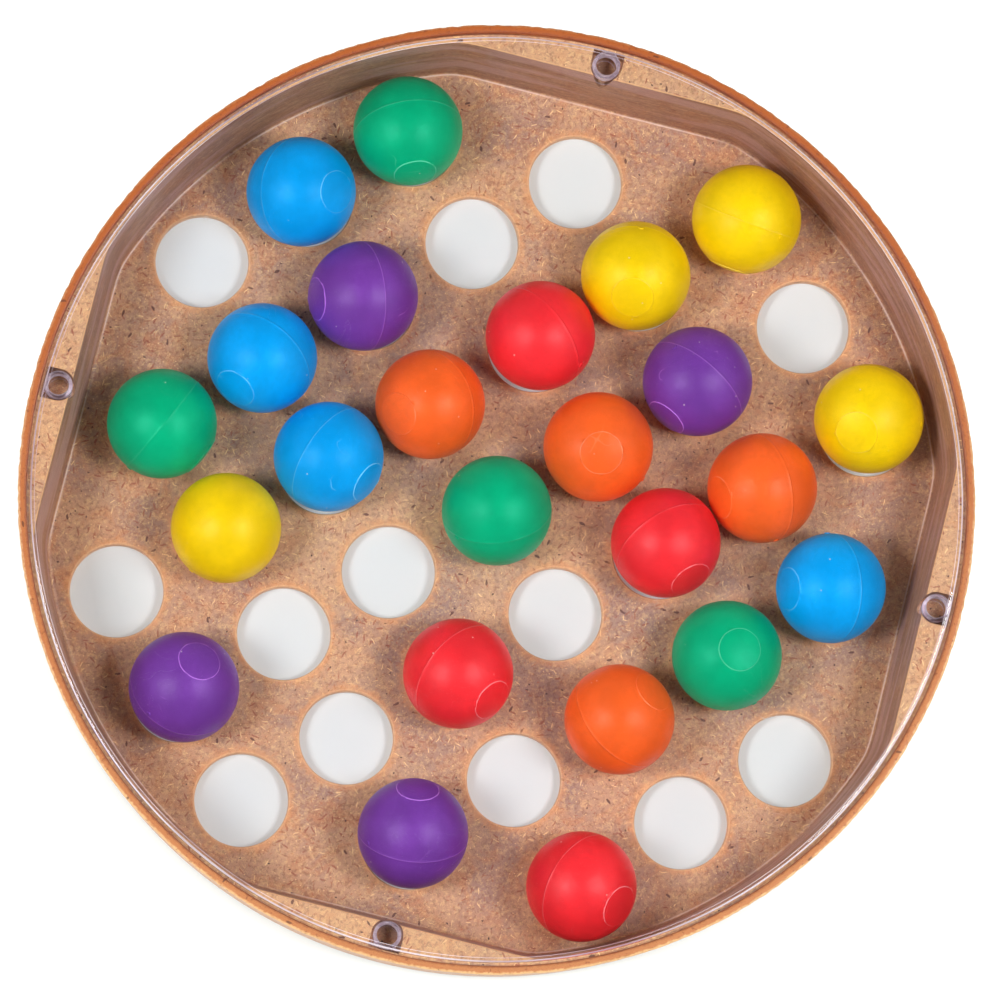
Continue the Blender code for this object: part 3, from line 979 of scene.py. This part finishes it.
def ball_material(colour_name):
    """Satin coloured plastic with pale scuffs on its moulding marks."""
    n = Nodes("ball_" + colour_name)
    body, pale, shine = BALL_PAINT[colour_name]
    place = n.add("ShaderNodeAttribute", attribute_name="own").outputs["Vector"]
    wear = n.add("ShaderNodeAttribute", attribute_name="wear").outputs["Fac"]
    where = n.add("ShaderNodeObjectInfo").outputs["Location"]
    apart = n.vector("ADD", place, n.vector("MULTIPLY", where, (17, 23, 0)))
    x, y, z = n.split(place)
    across = n.vector("LENGTH", n.join(x, y, 0.0))

    soft = n.noise(apart, 160, 2)
    deep = tuple(0.82 * part for part in body[:3]) + (1.0,)
    colour = n.blend(n.ramp(soft, 0.3, 0.7), deep, body)
    mottle = n.ramp(n.noise(apart, 1500, 4, 0.75), 0.42, 0.66)
    deeper = tuple(0.70 * part for part in body[:3]) + (1.0,)
    colour = n.blend(n.math("MULTIPLY", mottle, 0.30), colour, deeper)

    wander = n.math("MULTIPLY", n.math("SUBTRACT", n.noise(apart, 500, 3), 0.5), 0.22 * MM)
    off_lip = n.math("SUBTRACT", n.math("ADD", across, wander), DISC_RADIUS * BALL_RADIUS)
    off_lip = n.math("ABSOLUTE", off_lip)
    lip = n.math("MULTIPLY", n.ramp(off_lip, 0.07 * MM, 0.02 * MM), n.ramp(z, 0.0, 1 * MM))
    worn = n.ramp(n.math("ADD", n.noise(apart, 260, 3), n.math("MULTIPLY", wear, 0.3)), 0.52, 0.70)
    lip = n.math("MULTIPLY", lip, n.math("ADD", n.math("MULTIPLY", worn, 0.8), 0.15))
    near_ridge = n.math("ABSOLUTE", n.math("ADD", z, n.math("MULTIPLY", wander, 0.4)))
    ridge = n.ramp(near_ridge, 0.07 * MM, 0.02 * MM)
    broken = n.ramp(n.math("ADD", n.noise(apart, 220, 3), n.math("MULTIPLY", wear, 0.25)), 0.48, 0.70)
    ridge = n.math("MULTIPLY", ridge, n.math("ADD", n.math("MULTIPLY", broken, 0.7), 0.1))

    contour = n.noise(apart, 150, 1, 0.5, 0.4)
    hair = n.ramp(n.math("ABSOLUTE", n.math("SUBTRACT", contour, 0.5)), 0.004, 0.001)
    here = n.ramp(n.noise(apart, 200, 1), 0.62, 0.70)
    hair = n.math("MULTIPLY", hair, n.math("MULTIPLY", here, wear))

    dust_distance, dust_pick = n.cells(apart, 650)
    chosen = n.ramp(n.split(dust_pick)[0], 0.88, 0.89)
    dust = n.math("MULTIPLY", n.ramp(dust_distance, 0.09, 0.04), chosen)

    marks = n.math("MAXIMUM", lip, n.math("MULTIPLY", ridge, 0.7))
    marks = n.math("MAXIMUM", marks, n.math("MULTIPLY", hair, 0.5))
    strength = n.math("ADD", n.math("MULTIPLY", wear, 0.60), 0.20)
    colour = n.blend(n.math("MULTIPLY", marks, strength), colour, pale)
    colour = n.blend(n.math("MULTIPLY", dust, 0.7), colour, srgb(250, 240, 230))

    leather = n.noise(apart, 1700, 4, 0.7)
    bumps = n.bump(leather, 0.045 * MM, 0.95)
    bumps = n.bump(n.noise(apart, 350, 2), 0.03 * MM, 0.5, bumps)
    n.set(
        Base_Color=colour,
        Roughness=n.math("ADD", n.math("MULTIPLY", leather, 0.20), 0.30),
        Normal=bumps,
        Specular_IOR_Level=0.24,
        Specular_Tint=shine,
    )
    return n.material


def table_material():
    """Plain matt white table that glows a little around the board, as a light table does; its stronger
    glow outside the board is painted light that washes out the tray's shadow there.
    """
    n = Nodes("table")
    place = n.add("ShaderNodeTexCoord").outputs["Object"]
    x, y, _ = n.split(place)
    across = n.vector("LENGTH", n.join(x, y, 0.0))
    outside = n.ramp(across, BASE_RADIUS - 2 * MM, RIM_RADIUS + 2 * MM)
    # Painted light: the glow is stronger outside the board, where the tray's shadow would fall
    more = n.math("MULTIPLY", outside, TABLE_GLOW - HOLE_GLOW)
    n.set(
        Base_Color=(0.565, 0.61, 0.60, 1.0),
        Roughness=0.8,
        Emission_Color=(1.0, 1.0, 1.0, 1.0),
        Emission_Strength=n.math("ADD", more, HOLE_GLOW),
    )
    return n.material


# ---------------------------------------------------------------- stage

def look_from(azimuth, elevation):
    """Direction from the object towards a viewer."""
    a = math.radians(azimuth)
    e = math.radians(elevation)
    return Vector((math.sin(a) * math.cos(e), -math.cos(a) * math.cos(e), math.sin(e)))


def make_camera():
    """The camera above the board, a little to one side."""
    back = look_from(CAMERA_AZIMUTH, CAMERA_ELEVATION)
    data = bpy.data.cameras.new("camera")
    data.lens = CAMERA_LENS
    data.clip_start = 0.05
    data.clip_end = 20
    camera = link(bpy.data.objects.new("camera", data))
    camera.location = CAMERA_TARGET + back * CAMERA_DISTANCE
    aim = back.to_track_quat("Z", "Y").to_matrix().to_4x4()
    turn = aim @ Matrix.Rotation(math.radians(CAMERA_ROLL), 4, "Z")
    camera.rotation_euler = turn.to_euler()
    bpy.context.scene.camera = camera
    return turn.to_3x3()


def softbox(name, place, target):
    """A square area light that looks at a point."""
    data = bpy.data.lights.new(name, "AREA")
    data.shape = "SQUARE"
    data.size = SOFTBOX_SIZE
    data.energy = SOFTBOX_POWER
    lamp = link(bpy.data.objects.new(name, data))
    lamp.location = place
    lamp.rotation_euler = (place - target).to_track_quat("Z", "Y").to_euler()
    return lamp


def make_surround():
    """A studio's white surround: dim overhead and at the horizon, bright between."""
    world = bpy.data.worlds.new("surround")
    world.use_nodes = True
    nodes = world.node_tree.nodes
    links = world.node_tree.links
    direction = nodes.new("ShaderNodeTexCoord").outputs["Generated"]
    split = nodes.new("ShaderNodeSeparateXYZ")
    links.new(direction, split.inputs[0])
    fade = nodes.new("ShaderNodeMapRange")
    fade.interpolation_type = "SMOOTHSTEP"
    fade.inputs["From Min"].default_value = CEILING_FROM
    fade.inputs["From Max"].default_value = CEILING_TO
    fade.inputs["To Min"].default_value = SURROUND_GLOW
    fade.inputs["To Max"].default_value = CEILING_GLOW
    links.new(split.outputs["Z"], fade.inputs["Value"])
    rise = nodes.new("ShaderNodeMapRange")
    rise.interpolation_type = "SMOOTHSTEP"
    rise.inputs["From Min"].default_value = HORIZON_FROM
    rise.inputs["From Max"].default_value = HORIZON_TO
    rise.inputs["To Min"].default_value = HORIZON_SHARE
    rise.inputs["To Max"].default_value = 1.0
    links.new(split.outputs["Z"], rise.inputs["Value"])
    product = nodes.new("ShaderNodeMath")
    product.operation = "MULTIPLY"
    links.new(fade.outputs["Result"], product.inputs[0])
    links.new(rise.outputs["Result"], product.inputs[1])
    background = nodes["Background"]
    background.inputs["Color"].default_value = (1.0, 0.995, 0.985, 1.0)
    links.new(product.outputs["Value"], background.inputs["Strength"])
    return world


def make_lights(view):
    """Two softboxes, left and right of the view, in a pale surround."""
    right = view @ Vector((1, 0, 0))
    back = view @ Vector((0, 0, 1))
    middle = Vector((0, 0, 0.01))
    lean = math.radians(SOFTBOX_LEAN)
    for name, side in (("softbox_left", -1), ("softbox_right", 1)):
        direction = back * math.cos(lean) + right * side * math.sin(lean)
        softbox(name, middle + direction * SOFTBOX_DISTANCE, middle)
    bpy.context.scene.world = make_surround()


def make_table():
    """The pale table under everything."""
    shape = bmesh.new()
    bmesh.ops.create_grid(shape, x_segments=1, y_segments=1, size=TABLE_REACH)
    table = object_from_bmesh("table", shape)
    table.location.z = -TABLE_DROP
    table.data.materials.append(table_material())


# ---------------------------------------------------------------- build

def main():
    """Build the looks and the stage."""
    scene = bpy.context.scene
    scene.view_settings.view_transform = "Standard"

    tray = make_tray()
    tray.data.materials.append(tray_material())
    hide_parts("tray")
    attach(tray, "tray")

    lid = make_lid()
    lid.data.materials.append(lid_material())
    lid.data.materials.append(frost_and_highlight_material())
    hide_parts("lid")
    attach(lid, "lid")

    seed = 1
    for colour in COLOURS:
        paint = ball_material(colour)
        for number in range(1, 5):
            name = f"ball_{colour}_{number}"
            ball = make_ball(name, seed)
            ball.data.materials.append(paint)
            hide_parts(name)
            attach(ball, name)
            seed += 1

    view = make_camera()
    make_lights(view)
    make_table()


main()
